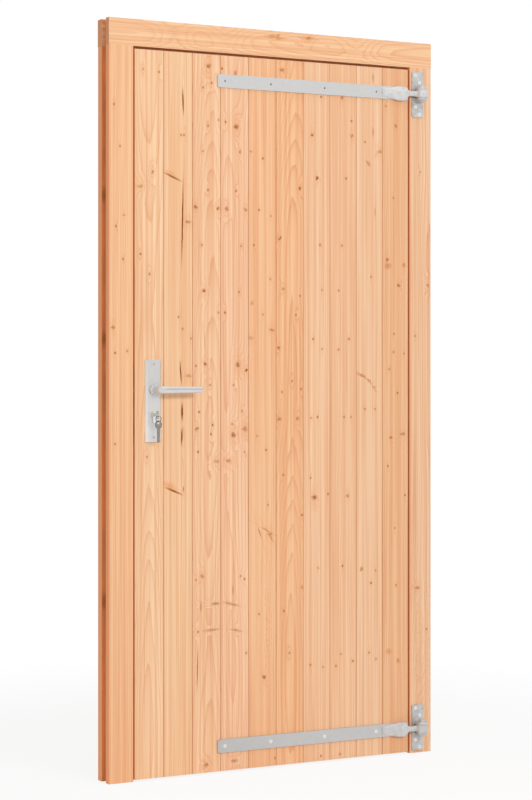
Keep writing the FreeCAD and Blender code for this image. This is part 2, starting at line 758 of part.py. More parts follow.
def key_solid(name):
    """Key along +Y with its bow about the origin, flat in the YZ plane: ring hole in the bow, bits in the blade."""
    bow = rod(name + "_bow", "key_bow_radius", "key_thickness", "-key_thickness / 2", "0", "0", "x")
    blade = box(name + "_blade", "key_thickness", "key_bow_radius + key_shoulder + key_blade_length",
                "key_blade_width", "-key_thickness / 2", "0", "-key_blade_width / 2")
    tools = [rod(name + "_hole", "key_hole_radius", "key_thickness", "-key_thickness / 2", "-key_hole_out", "0",
                 "x")]
    for number in range(int(value("key_bit_count"))):
        bit = doc.addObject("Part::Box", f"{name}_bit_{number + 1}")
        tie(bit, Length="key_thickness", Width="key_bit_side", Height="key_bit_side")
        along = f"key_bow_radius + key_shoulder + key_bit_start + {number} * key_bit_pitch"
        place(bit, "-key_thickness / 2", along, "-key_blade_width / 2 - key_bit_side / sqrt(2)", ON_EDGE)
        tools.append(bit)
    return cut(name + "_cut", fuse(name + "_solid", [bow, blade]), tools)


def make_keys():
    """Key in the cylinder, ring through its bow, and the spare key hung on the ring, blade down."""
    name_subpart(place(key_solid("key"), "lever_x", "key_bow_y", "cylinder_z"), "key")
    ring = doc.addObject("Part::Torus", "ring")
    tie(ring, Radius1="ring_radius", Radius2="ring_wire")
    name_subpart(place(ring, "lever_x", "key_hole_y", "ring_z", ALONG["y"]), "key_ring")
    spare = key_solid("spare")
    hang = Rotation(Vector(0, 0, 1), value("spare_turn")).multiply(ALONG["y"])
    name_subpart(place(spare, "lever_x", "key_hole_y", "spare_bow_z", hang), "spare_key")


def make_forend():
    """Lock forend in the edge of the leaf, with the latch and the bolt drawn back almost flush."""
    plate = box("forend_plate", "forend_thickness", "forend_width", "forend_length", "leaf_left",
                "tongue_y - forend_width / 2", "forend_bottom")
    latch = box("latch_end", "bolt_proud + forend_thickness", "latch_width", "latch_height",
                "leaf_left - bolt_proud", "tongue_y - latch_width / 2", "lever_height - latch_height / 2")
    bolt = box("bolt_end", "bolt_proud + forend_thickness", "bolt_width", "bolt_height",
               "leaf_left - bolt_proud", "tongue_y - bolt_width / 2", "cylinder_z - bolt_height / 2")
    name_subpart(fuse("forend_solid", [plate, latch, bolt]), "lock_forend")


def write_steps():
    """Check every object, then write each sub-part."""
    doc.recompute()
    for item in doc.Objects:
        if "Invalid" in item.State or "Error" in item.State:
            raise RuntimeError(f"{item.Name} failed: {item.State}")
    for item in subparts:
        if item.Shape.isNull() or not item.Shape.isValid():
            raise RuntimeError(f"{item.Label} has no sound shape")
    os.makedirs("parts", exist_ok=True)
    for item in subparts:
        item.Shape.exportStep(f"parts/{item.Label}.step")


fill_sheet("Size", SIZES)
fill_sheet("Place", {alias: "=" + formula(text) for alias, text in PLACES.items()})
spare_cell = fill_sheet("Spare", {})

make_hinge_jamb()
make_lock_jamb()
make_head()
make_boards()
make_ledges()
make_braces()
for height_name in ("upper", "lower"):
    make_hinge_plate(f"{height_name}_hinge_plate", f"{height_name}_hinge_z")
    make_pin(f"{height_name}_hinge_pin", f"{height_name}_hinge_z")
    make_strap(f"{height_name}_strap", f"{height_name}_hinge_z")
make_lever_plate("outer_lever_plate", "front_y", "outer_plate_y", -1)
make_lever_plate("inner_lever_plate", "boards_back_y", "inner_plate_y", 1)
make_lever("outer_lever", "outer_plate_y", -1)
make_lever("inner_lever", "inner_plate_y", 1)
make_spindle()
make_cylinder()
make_keys()
make_forend()
write_steps()
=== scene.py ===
import math
from collections import namedtuple

import bmesh
import bpy
from mathutils import Matrix, Vector


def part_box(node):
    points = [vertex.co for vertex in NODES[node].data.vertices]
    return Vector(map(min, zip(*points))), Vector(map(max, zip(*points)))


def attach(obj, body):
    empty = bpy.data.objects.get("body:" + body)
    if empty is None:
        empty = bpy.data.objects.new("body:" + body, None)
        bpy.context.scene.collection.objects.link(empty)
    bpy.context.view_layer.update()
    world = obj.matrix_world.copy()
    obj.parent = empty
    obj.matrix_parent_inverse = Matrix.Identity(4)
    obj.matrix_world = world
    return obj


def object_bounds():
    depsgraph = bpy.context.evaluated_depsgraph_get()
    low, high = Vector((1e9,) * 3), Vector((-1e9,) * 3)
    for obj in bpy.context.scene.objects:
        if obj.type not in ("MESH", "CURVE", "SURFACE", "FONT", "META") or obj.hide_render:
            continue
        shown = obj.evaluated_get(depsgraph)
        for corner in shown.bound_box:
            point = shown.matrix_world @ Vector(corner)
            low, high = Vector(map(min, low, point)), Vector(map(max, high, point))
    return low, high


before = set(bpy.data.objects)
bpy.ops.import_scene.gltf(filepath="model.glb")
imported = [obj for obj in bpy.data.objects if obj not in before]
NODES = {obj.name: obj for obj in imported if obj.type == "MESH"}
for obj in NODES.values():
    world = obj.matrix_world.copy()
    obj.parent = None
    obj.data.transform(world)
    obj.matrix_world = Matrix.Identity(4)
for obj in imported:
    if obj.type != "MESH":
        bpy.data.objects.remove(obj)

# Looks of the ledged and braced door: timber, hinges, lever set, keys and screws. Metres, in the row frame.
CAD_LOW, CAD_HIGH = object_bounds()
MM = 0.001
X, Y, Z = 0, 1, 2

# The camera, as solved from the photograph's edges. It looks level, from the left of the door.
PHOTO_WIDTH = 532
PHOTO_HEIGHT = 800
FOCAL_PIXELS = 2152.5
HORIZON_ROW = 362.5
CAMERA_YAW = math.radians(28.9)
CAMERA_PLACE = Vector((-3.641, -5.655, 1.209))
SENSOR_HEIGHT = 24
FORWARD = Vector((math.sin(CAMERA_YAW), math.cos(CAMERA_YAW), 0))
RIGHT = Vector((math.cos(CAMERA_YAW), -math.sin(CAMERA_YAW), 0))
UP = Vector((0, 0, 1))

BOARDS = sorted((name for name in NODES if name.startswith("board_")), key=lambda name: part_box(name)[0].x)
LEDGES = ("top_ledge", "middle_ledge", "bottom_ledge")
BRACES = ("upper_brace", "lower_brace")
FACE_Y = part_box(BOARDS[0])[0].y
LEAF_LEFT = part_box(BOARDS[0])[0].x
LEAF_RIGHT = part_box(BOARDS[-1])[1].x
LEAF_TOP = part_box(BOARDS[0])[1].z
DOOR_MIDDLE = (CAD_LOW + CAD_HIGH) / 2


def on_face(column, row):
    """Where a pixel of the photograph lies on the front face of the door."""
    aside = (column - PHOTO_WIDTH / 2) / FOCAL_PIXELS
    above = (HORIZON_ROW - row) / FOCAL_PIXELS
    ray = FORWARD + RIGHT * aside + UP * above
    return CAMERA_PLACE + ray * ((FACE_Y - CAMERA_PLACE.y) / ray.y)


# The curve between a screen's colour values and light.
SCREEN_FULL = 255
CURVE_LIFT = 0.055
CURVE_POWER = 2.4
CURVE_FOOT = 0.04045
CURVE_FOOT_SLOPE = 12.92


def light_of(value):
    """One screen value from 0 to 255 as linear light."""
    share = value / SCREEN_FULL
    if share > CURVE_FOOT:
        return ((share + CURVE_LIFT) / (1 + CURVE_LIFT)) ** CURVE_POWER
    return share / CURVE_FOOT_SLOPE


def tint(red, green, blue):
    """A screen colour from 0 to 255 as linear light."""
    return (light_of(red), light_of(green), light_of(blue), 1.0)


# Where a mix node for colours has its sockets.
MIX_SHARE, MIX_FIRST, MIX_SECOND, MIX_RESULT = 0, 6, 7, 2


class Graph:
    """A node tree built one node at a time. Each method gives back the output of the node it made."""

    def __init__(self, tree):
        self.tree = tree

    def node(self, kind, **settings):
        made = self.tree.nodes.new(kind)
        for name, setting in settings.items():
            setattr(made, name, setting)
        return made

    def feed(self, socket, value):
        """Links an output to a socket, or sets the socket to a plain value."""
        if isinstance(value, bpy.types.NodeSocket):
            self.tree.links.new(value, socket)
        else:
            socket.default_value = value

    def math(self, operation, *values):
        made = self.node("ShaderNodeMath", operation=operation)
        for socket, value in zip(made.inputs, values):
            self.feed(socket, value)
        return made.outputs[0]

    def times(self, first, second):
        return self.math("MULTIPLY", first, second)

    def vector(self, operation, first, second):
        made = self.node("ShaderNodeVectorMath", operation=operation)
        self.feed(made.inputs[0], first)
        self.feed(made.inputs[1], second)
        return made.outputs[0]

    def length(self, vector):
        made = self.node("ShaderNodeVectorMath", operation="LENGTH")
        self.feed(made.inputs[0], vector)
        return made.outputs["Value"]

    def split(self, vector):
        made = self.node("ShaderNodeSeparateXYZ")
        self.feed(made.inputs[0], vector)
        return made.outputs

    def noise(self, vector, scales, detail, output="Fac"):
        made = self.node("ShaderNodeTexNoise")
        self.feed(made.inputs["Vector"], self.vector("MULTIPLY", vector, scales))
        made.inputs["Scale"].default_value = 1
        made.inputs["Detail"].default_value = detail
        return made.outputs[output]

    def cells(self, vector, scale):
        """A level from 0 to 1 for each of many small cells."""
        made = self.node("ShaderNodeTexVoronoi")
        self.feed(made.inputs["Vector"], vector)
        made.inputs["Scale"].default_value = scale
        return self.split(made.outputs["Color"])[X]

    def fade(self, value, start, end):
        """0 at start and 1 at end, smooth between them."""
        made = self.node("ShaderNodeMapRange", interpolation_type="SMOOTHSTEP")
        self.feed(made.inputs["Value"], value)
        made.inputs["From Min"].default_value = start
        made.inputs["From Max"].default_value = end
        return made.outputs["Result"]

    def spread(self, value, low, high):
        """A value from 0 to 1 laid out between low and high."""
        return self.math("MULTIPLY_ADD", value, high - low, low)

    def mix(self, share, first, second, blend="MIX"):
        made = self.node("ShaderNodeMix", data_type="RGBA", blend_type=blend)
        self.feed(made.inputs[MIX_SHARE], share)
        self.feed(made.inputs[MIX_FIRST], first)
        self.feed(made.inputs[MIX_SECOND], second)
        return made.outputs[MIX_RESULT]

    def shaded(self, colour, shade):
        """A colour made lighter or darker by a plain value."""
        grey = self.node("ShaderNodeCombineColor")
        for socket in grey.inputs:
            self.feed(socket, shade)
        return self.mix(1.0, colour, grey.outputs[0], "MULTIPLY")

    def turned(self, vector, turn):
        """A vector turned about Y."""
        made = self.node("ShaderNodeVectorRotate", rotation_type="Y_AXIS")
        made.inputs["Angle"].default_value = turn
        self.feed(made.inputs["Vector"], vector)
        return made.outputs["Vector"]

    def bump(self, height, distance, strength):
        made = self.node("ShaderNodeBump")
        self.feed(made.inputs["Height"], height)
        made.inputs["Distance"].default_value = distance
        made.inputs["Strength"].default_value = strength
        return made.outputs["Normal"]

    def over(self, share, first, second):
        """The second shader laid over the first."""
        made = self.node("ShaderNodeMixShader")
        for socket, value in zip(made.inputs, (share, first, second)):
            self.feed(socket, value)
        return made.outputs[0]

    def seen(self):
        """1 for what the camera sees, also in metal or through glass, and 0 for light on things."""
        path = self.node("ShaderNodeLightPath").outputs
        straight = self.math("MAXIMUM", path["Is Camera Ray"], path["Is Glossy Ray"])
        return self.math("MAXIMUM", straight, path["Is Transmission Ray"])


def new_material(name):
    material = bpy.data.materials.new(name)
    material.use_nodes = True
    return material, Graph(material.node_tree), material.node_tree.nodes["Principled BSDF"]


def dress(obj, material):
    obj.data.materials.clear()
    obj.data.materials.append(material)


# Marks in the timber, read from the photograph as columns and rows of its pixels.
KNOTS = {
    "pin": (
        (114, 104), (120, 146), (124, 215), (116, 226), (123, 259), (115, 353), (127, 351), (115, 444),
        (143, 69), (159, 72), (149.5, 274), (140.5, 254), (147, 457),
        (181, 135), (184, 135), (178.5, 317), (182.6, 329), (191, 338.5),
        (203, 87.5), (211.6, 83), (208, 125.5), (218.5, 120), (203, 151), (208, 190), (202, 245),
        (218.5, 312.6), (196, 366), (210, 385), (199, 412), (211, 434), (212.6, 425), (198, 452),
        (196, 580), (198, 632),
        (222, 68.5), (225.6, 122), (240, 152), (236, 191), (241, 246), (239, 292), (225, 312.6),
        (233.6, 385), (242, 411), (232, 424), (244.6, 452), (240.6, 576), (244.6, 579), (236, 630),
        (246, 653),
        (262.8, 158.5), (259, 210), (254, 245), (271, 216), (270, 279), (263, 314.5), (257, 436),
        (266, 450), (268, 505), (259, 614), (275, 758), (251, 151.5),
        (300, 296), (296, 315), (292, 381), (282, 392), (301, 389), (283.4, 475), (302, 515),
        (302, 587.5), (284, 611), (289.4, 653),
        (321, 97), (320, 245), (322, 290), (313, 339), (322, 349), (311, 418), (317.6, 417), (310.5, 478),
        (328, 494), (318, 568), (310.5, 665), (323, 667), (321, 756),
        (351.5, 121), (346, 178.5), (342, 245.6), (338.7, 290.6), (349, 339), (338.7, 349.5), (344, 417),
        (351, 417), (342.5, 566), (336, 666), (353, 661), (341, 654), (340, 754),
        (365, 142), (371, 277), (365, 409), (375, 409), (375.6, 570.6), (371, 583), (369, 652.6),
        (376, 659),
        (386, 106), (393.5, 198), (394, 334), (393.5, 352), (404, 353.5), (389, 369), (397.5, 393),
        (388, 466), (395, 528), (396, 585), (405, 495),
        (420, 172), (415, 336), (426.5, 629),
    ),
    "round": (
        (113, 327), (152.5, 171.5), (195.6, 207), (218, 208), (204, 291), (205, 364), (197, 429),
        (202, 576), (226.5, 209), (245.7, 210), (246.5, 370), (264, 677), (280, 238), (283, 289),
        (279, 348), (297.7, 418), (312, 135), (317, 178), (342, 98), (352, 136), (347.6, 496), (396, 126),
        (387, 260), (404, 265), (399, 285.5), (391, 437.5), (427.6, 285), (300, 188),
    ),
    "large": ((208.6, 66), (236, 127), (238, 365), (245, 429), (233, 435), (314, 498)),
    "smear": (
        (188, 222), (189, 376), (216.5, 461.5), (206, 765), (228, 461), (234, 761), (251, 338), (272, 330),
        (270, 534), (279, 419), (380, 152), (403, 434), (140, 186), (281.5, 70), (417, 588), (308, 38),
    ),
    "streak": ((201, 607), (233, 590), (373, 78), (373, 132), (375, 212)),
    "amber": ((235, 73), (252, 303), (368.5, 164), (361.5, 569), (398, 660.5), (278, 37)),
    "blotch": ((388, 266), (388.6, 651.5)),
    "swirl": ((175, 37), (226, 35), (357, 45)),
    "drop": ((424, 652), (262, 622)),
}
# Half width and half height in millimetres, how dark the heart is, how far it stains the wood, and its kind.
KNOT_FORMS = {
    "pin": (3.5, 4.2, 0.72, 0.3, "fine"),
    "round": (5.4, 5.8, 0.92, 0.45, "loose"),
    "large": (8.0, 8.0, 0.85, 0.55, "loose"),
    "smear": (10.0, 5.0, 0.6, 0.35, "loose"),
    "streak": (2.0, 15.0, 0.75, 0.5, "fine"),
    "amber": (6.0, 8.0, 0.9, 0.0, "resin"),
    "blotch": (13.0, 10.0, 0.6, 0.0, "resin"),
    "swirl": (34.0, 9.0, 0.0, 0.0, "loose"),
    "drop": (13.0, 42.0, 0.0, 0.0, "loose"),
}
# A knot is as dark as its form says times a share of its own, which its place in the photograph scatters.
KNOT_SHARE_LOW, KNOT_SHARE_RANGE = 0.7, 0.55
SCATTER_COLUMN, SCATTER_ROW = 0.37, 0.61
# Cracks, spike knots and resin runs: the two ends in pixels, the width in millimetres, how dark, how far it
# stains the wood, and its kind.
LINES = (
    (182.5, 88, 183.5, 115, 5.4, 1.2, 0.1, "fine"),
    (183.3, 177, 181.6, 265, 5.2, 1.2, 0.1, "fine"),
    (179.9, 361, 181.5, 384, 4.8, 1.2, 0.1, "fine"),
    (182.1, 403, 182.1, 421, 7.0, 1.2, 0.1, "fine"),
    (181.9, 428, 181.7, 446, 5.8, 1.2, 0.1, "fine"),
    (163.8, 172.4, 181.5, 181.3, 6.8, 0.95, 0.1, "fine"),
    (168.6, 172.6, 171.2, 173.9, 9.0, 0.0, 0.8, "loose"),
    (165, 487.3, 182.6, 494.9, 6.8, 1.0, 0.1, "fine"),
    (168.5, 485.4, 171.5, 486.9, 11.0, 0.1, 1.0, "loose"),
    (183.6, 486, 183.4, 492, 4.0, 0.8, 0.1, "fine"),
    (198, 648, 197, 690, 3.8, 0.9, 0.1, "fine"),
    (204, 330, 205.4, 356, 2.6, 0.45, 0.2, "fine"),
    (356.6, 372.6, 367, 378.4, 10.0, 0.95, 0.0, "resin"),
    (364.5, 376.5, 372.5, 384.5, 8.5, 0.9, 0.0, "resin"),
    (370.5, 382, 376.8, 393, 6.0, 0.7, 0.0, "resin"),
    (379.4, 151.2, 377.4, 153.6, 6.0, 0.3, 0.9, "loose"),
    (365.5, 160, 371, 166.5, 7.5, 0.9, 0.0, "resin"),
    (264, 36, 285, 38, 11.0, 0.75, 0.0, "resin"),
    (298, 37.5, 319, 39.5, 9.0, 0.65, 0.0, "resin"),
    (211, 604, 220, 603.4, 9.0, 0.6, 0.1, "fine"),
    (223, 602.2, 240, 606, 8.0, 0.5, 0.1, "fine"),
    (203.5, 631, 219.5, 629, 8.0, 0.5, 0.1, "fine"),
    (229, 629, 243, 631.5, 7.0, 0.4, 0.1, "fine"),
    (258, 527, 261.5, 538, 4.5, 0.6, 0.4, "fine"),
    (262, 527.5, 270.5, 532.5, 4.5, 0.55, 0.4, "fine"),
    (267.5, 531.5, 273.5, 542, 4.5, 0.6, 0.4, "fine"),
)


def marks_of(low_x, high_x, low_z, high_z, turn=0.0):
    """The marks that lie within a stretch of the front face, in the turned coordinates of its grain."""
    grain = Matrix.Rotation(turn, 3, "Y")
    found = []

    def keep(centre, wide, tall, lean, *rest):
        if low_x <= centre.x < high_x and low_z <= centre.z < high_z:
            place = grain @ centre
            found.append((place.x, place.z, wide * MM, tall * MM, lean + turn, *rest))

    for form, places in KNOTS.items():
        wide, tall, dark, *rest = KNOT_FORMS[form]
        for column, row in places:
            scatter = math.modf(column * SCATTER_COLUMN + row * SCATTER_ROW)[0]
            own_dark = dark * (KNOT_SHARE_LOW + KNOT_SHARE_RANGE * scatter)
            keep(on_face(column, row), wide, tall, 0.0, own_dark, *rest)
    for first_column, first_row, last_column, last_row, wide, *rest in LINES:
        first = on_face(first_column, first_row)
        last = on_face(last_column, last_row)
        run = last - first
        keep((first + last) / 2, wide / 2, run.length / 2 / MM, math.atan2(-run.x, -run.z), *rest)
    return found


# What the marks add up to, and the values that give one mark its place and form.
Sums = namedtuple("Sums", "Heart Stain Bend")
MARK_VALUES = ("Across", "Along", "Wide", "Tall", "Lean", "Depth", "Halo")
# Reaches are shares of a mark's half size. Stain and bent grain reach further along the grain than across it.
HEART_REACH = (1.4, 0.25)
STAIN_REACH = (2.6, 0.6)
ALONG_WEIGHT = 0.14
BEND_FALL = -0.3


def make_mark_group():
    """Adds one oval mark to those so far: its heart, the wood it stains and the grain it bends."""
    tree = bpy.data.node_groups.new("timber_mark", "ShaderNodeTree")
    tree.interface.new_socket("Place", in_out="INPUT", socket_type="NodeSocketVector")
    for name in Sums._fields + MARK_VALUES:
        tree.interface.new_socket(name, in_out="INPUT", socket_type="NodeSocketFloat")
    for name in Sums._fields:
        tree.interface.new_socket(name, in_out="OUTPUT", socket_type="NodeSocketFloat")
    g = Graph(tree)
    given = g.node("NodeGroupInput").outputs
    result = g.node("NodeGroupOutput").inputs
    place = g.split(given["Place"])
    side = g.math("SUBTRACT", place[X], given["Across"])
    rise = g.math("SUBTRACT", place[Z], given["Along"])
    cosine = g.math("COSINE", given["Lean"])
    sine = g.math("SINE", given["Lean"])
    level = g.math("SUBTRACT", g.times(side, cosine), g.times(rise, sine))
    upright = g.math("ADD", g.times(rise, cosine), g.times(side, sine))
    wide_share = g.math("DIVIDE", level, given["Wide"])
    tall_share = g.math("DIVIDE", upright, given["Tall"])
    wide_square = g.times(wide_share, wide_share)
    tall_square = g.times(tall_share, tall_share)
    near = g.math("SQRT", g.math("ADD", wide_square, tall_square))
    long_square = g.math("MULTIPLY_ADD", tall_square, ALONG_WEIGHT, wide_square)
    heart = g.times(g.fade(near, *HEART_REACH), given["Depth"])
    stain = g.times(g.fade(g.math("SQRT", long_square), *STAIN_REACH), given["Halo"])
    bell = g.math("EXPONENT", g.times(long_square, BEND_FALL))
    size = g.math("MINIMUM", given["Wide"], given["Tall"])
    g.feed(result["Heart"], g.math("MAXIMUM", given["Heart"], heart))
    g.feed(result["Stain"], g.math("MAXIMUM", given["Stain"], stain))
    g.feed(result["Bend"], g.math("MULTIPLY_ADD", bell, size, given["Bend"]))
    return tree


MARK_GROUP = make_mark_group()


def add_marks(g, place, marks, kind):
    """Heart, stain and bend of a chain of the marks of one kind."""
    sums = Sums(0.0, 0.0, 0.0)
    for *values, own_kind in marks:
        if own_kind == kind:
            made = g.node("ShaderNodeGroup", node_tree=MARK_GROUP)
            g.feed(made.inputs["Place"], place)
            for name, value in zip(Sums._fields + MARK_VALUES, (*sums, *values)):
                g.feed(made.inputs[name], value)
            sums = Sums(*made.outputs)
    return sums


PALE_WOOD = tint(249, 208, 166)
WARM_WOOD = tint(241, 187, 142)
LATE_WOOD = tint(222, 152, 106)
STAINED_WOOD = tint(232, 156, 104)
KNOT_WOOD = tint(157, 85, 10)
CRACK_WOOD = tint(78, 40, 10)
RESIN_WOOD = tint(192, 114, 46)
END_WOOD = tint(212, 148, 106)
# Painted shade for the wall grooves, warmed as by light bounced inside them:
GROOVE_SHADE_WOOD = tint(243, 162, 102)
# Painted shade for faces that look sideways, warmed as by bounced light: the frame's sides, and the joints
# and edges of the boards.
SIDE_SHADE_WOOD = tint(254, 169, 113)
SEAM_SHADE_WOOD = tint(205, 128, 72)
# Noise in the timber: its scales across, through and along the grain, and its detail.
WOOD_NOISE = {
    "ripple": ((120, 120, 120), 1.0),
    "rough": ((170, 170, 110), 3.0),
    "crumble": ((330, 330, 240), 2.0),
    "sway": ((5, 5, 1.1), 1.5),
    "drift": ((4, 4, 0.8), 1.5),
    "wobble": ((90, 90, 2), 2.0),
    "ring": ((35, 35, 1.2), 1.0),
    "thread": ((330, 330, 1.6), 2.0),
    "hair": ((520, 520, 1.1), 1.0),
    "band": ((105, 105, 1.0), 2.5),
    "fibre": ((650, 650, 7), 3.0),
    "streak": ((40, 40, 9), 3.0),
}
NOISE_MIDDLE = 0.5
# Each timber looks at its own stretch of the noise, this far on for each step of its seed.
SEED_STEPS = (1.37, 2.11, 3.53)
# How far the noise moves the outlines of marks, the heart of the log, and the rings.
RIPPLE_REACH = 2 * MM
ROUGH_REACH = 16 * MM
SWAY_REACH = 30 * MM
DRIFT_REACH = 90 * MM
WOBBLE_SHARE = 0.5
BEND_SHARE = 1.7
CRUMBLE_RANGE = (0.35, 1.45)
# Late wood within a ring: it grows towards the ring's end, where a thin line stands, and stops there.
RING_LINE_POWER = 7.0
RING_LINE_END = (1.0, 0.93)
RING_RISE = 0.45
RING_END = (1.0, 0.95)
RING_RANGE = (0.1, 0.95)
# Where a noise or a share starts to show and where it is full.
THREAD_FADE = (0.57, 0.72)
HAIR_FADE = (0.6, 0.7)
BAND_FADE = (0.32, 0.68)
CRACK_FADE = (0.95, 1.2)
EDGE_SHADE_FADE = (0.3, 0.6)
END_FADE = (0.6, 0.9)
# How much of each tint shows where it is full.
THREAD_SHARE = 0.52
HAIR_SHARE = 0.45
STAIN_SHARE = 0.55
HEART_SHARE = 0.97
CRACK_SHARE = 0.7
RESIN_SHARE = 0.75
END_SHARE = 0.6
FIBRE_RANGE = (0.93, 1.07)
# Surface of the planed wood, and how high each part of it stands.
WOOD_ROUGHNESS = (0.5, 0.72)
WOOD_GLOSS = 0.25
FIBRE_HEIGHT, LATE_HEIGHT, HEART_HEIGHT = 0.6, -0.5, -0.2
WOOD_BUMP = (0.3 * MM, 0.5)

# The wall grooves run between these two depths. An opening is (axis, the mouth and the floor along it).
Groove = namedtuple("Groove", "axis mouth floor")
GROOVE_FRONT = FACE_Y + 20 * MM
GROOVE_BACK = FACE_Y + 51 * MM
GROOVE_DEPTH = 12 * MM
# Shares of the groove's depth where its painted shade is full behind the mouth, and where it ends behind the
# floor.
GROOVE_SHADE_FULL = 0.15
GROOVE_SHADE_END = (0.2, 0.1)
GROOVE_SHADE_SHARE = 0.9
GROOVE_SHADE_RANGE = (0.6, 1.3)
# Knots on the floor of the grooves: their heights, how far from its middle a knot ends and is full, and
# their share.
GROOVE_KNOTS = (0.52, 1.277, 1.692)
GROOVE_KNOT_REACH = (34 * MM, 4 * MM)
GROOVE_KNOT_SHARE = 0.8

# A timber's log: its seed, the place of its heart, the width of its rings, its taper, its tint and the turn
# of its grain.
Log = namedtuple("Log", "seed across depth ring taper colour turn")
# How much of each part of the marks shows at a point.
Marked = namedtuple("Marked", "heart stain bend resin")


def wood_noise(g, own, name, output="Fac"):
    return g.noise(own, *WOOD_NOISE[name], output)


def shaken(g, place, own, name, reach):
    """The place, moved to and fro by a noise."""
    shake = g.vector("SUBTRACT", wood_noise(g, own, name, "Color"), (NOISE_MIDDLE,) * 3)
    return g.vector("ADD", place, g.vector("MULTIPLY", shake, (reach,) * 3))


def mark_wood(g, place, own, marks):
    """The marks of a timber. Fine ones have clear outlines, loose ones and resin have ragged ones."""
    clear = shaken(g, place, own, "ripple", RIPPLE_REACH)
    ragged = shaken(g, place, own, "rough", ROUGH_REACH)
    fine = add_marks(g, clear, marks, "fine")
    loose = add_marks(g, ragged, marks, "loose")
    resin = add_marks(g, ragged, marks, "resin")
    crumbled = g.times(loose.Heart, g.spread(wood_noise(g, own, "crumble"), *CRUMBLE_RANGE))
    heart = g.math("MAXIMUM", fine.Heart, crumbled)
    stain = g.math("MAXIMUM", fine.Stain, loose.Stain)
    return Marked(heart, stain, g.math("ADD", fine.Bend, loose.Bend), resin.Heart)


def late_wood(g, place, own, log, bend):
    """How much late wood shows in the growth rings, which the marks bend."""
    across, depth, along = g.split(place)[0:3]
    sway = g.math("SUBTRACT", wood_noise(g, own, "sway"), NOISE_MIDDLE)
    drift = g.math("SUBTRACT", wood_noise(g, own, "drift"), NOISE_MIDDLE)
    side = g.math("ADD", g.math("SUBTRACT", across, log.across), g.times(sway, SWAY_REACH))
    back = g.math("ADD", g.math("SUBTRACT", depth, log.depth), g.times(drift, DRIFT_REACH))
    radius = g.math("SQRT", g.math("ADD", g.times(side, side), g.times(back, back)))
    radius = g.math("ADD", radius, g.times(bend, BEND_SHARE))
    radius = g.math("MULTIPLY_ADD", along, log.taper, radius)
    wobble = g.times(wood_noise(g, own, "wobble"), WOBBLE_SHARE)
    share = g.math("FRACT", g.math("ADD", g.math("DIVIDE", radius, log.ring), wobble))
    line = g.times(g.math("POWER", share, RING_LINE_POWER), g.fade(share, *RING_LINE_END))
    late = g.math("MULTIPLY_ADD", g.times(share, share), RING_RISE, line)
    late = g.times(late, g.fade(share, *RING_END))
    return g.times(late, g.spread(wood_noise(g, own, "ring"), *RING_RANGE))


def wood_tone(g, own, log, late, marked, fibre):
    """The colour of the wood and its marks."""
    thread = g.fade(wood_noise(g, own, "thread"), *THREAD_FADE)
    hair = g.fade(wood_noise(g, own, "hair"), *HAIR_FADE)
    band = g.fade(wood_noise(g, own, "band"), *BAND_FADE)
    crack = g.fade(marked.heart, *CRACK_FADE)
    tone = g.mix(band, WARM_WOOD, PALE_WOOD)
    tone = g.mix(late, tone, LATE_WOOD)
    tone = g.mix(g.times(thread, THREAD_SHARE), tone, LATE_WOOD)
    tone = g.mix(g.times(hair, HAIR_SHARE), tone, LATE_WOOD)
    tone = g.mix(1.0, tone, (*log.colour, 1.0), "MULTIPLY")
    tone = g.mix(g.times(marked.stain, STAIN_SHARE), tone, STAINED_WOOD)
    tone = g.mix(g.times(marked.heart, HEART_SHARE), tone, KNOT_WOOD)
    tone = g.mix(g.times(crack, CRACK_SHARE), tone, CRACK_WOOD)
    tone = g.mix(g.times(marked.resin, RESIN_SHARE), tone, RESIN_WOOD)
    return g.shaded(tone, g.spread(fibre, *FIBRE_RANGE))


def groove_shade_tone(g, place, own):
    """The painted shade of a groove's floor, warmed as by light bounced inside the groove, with its streaks
    and knots.
    """
    tone = g.shaded(GROOVE_SHADE_WOOD, g.spread(wood_noise(g, own, "streak"), *GROOVE_SHADE_RANGE))
    along = g.split(shaken(g, place, own, "rough", ROUGH_REACH))[Z]
    for level in GROOVE_KNOTS:
        off = g.math("ABSOLUTE", g.math("SUBTRACT", along, level))
        tone = g.mix(g.times(g.fade(off, *GROOVE_KNOT_REACH), GROOVE_KNOT_SHARE), tone, RESIN_WOOD)
    return tone


def groove_shade_share(g, place, groove):
    """How much of a groove's painted shade shows: none outside it, full between its mouth and its floor."""
    deep = groove.floor - groove.mouth
    parts = g.split(place)
    behind_mouth = g.fade(parts[groove.axis], groove.mouth, groove.mouth + deep * GROOVE_SHADE_FULL)
    before_floor = g.fade(parts[groove.axis], *(groove.floor + deep * share for share in GROOVE_SHADE_END))
    behind_front = g.math("GREATER_THAN", parts[Y], GROOVE_FRONT)
    before_back = g.math("LESS_THAN", parts[Y], GROOVE_BACK)
    inside = g.times(g.times(behind_front, before_back), GROOVE_SHADE_SHARE)
    return g.times(inside, g.times(behind_mouth, before_floor))


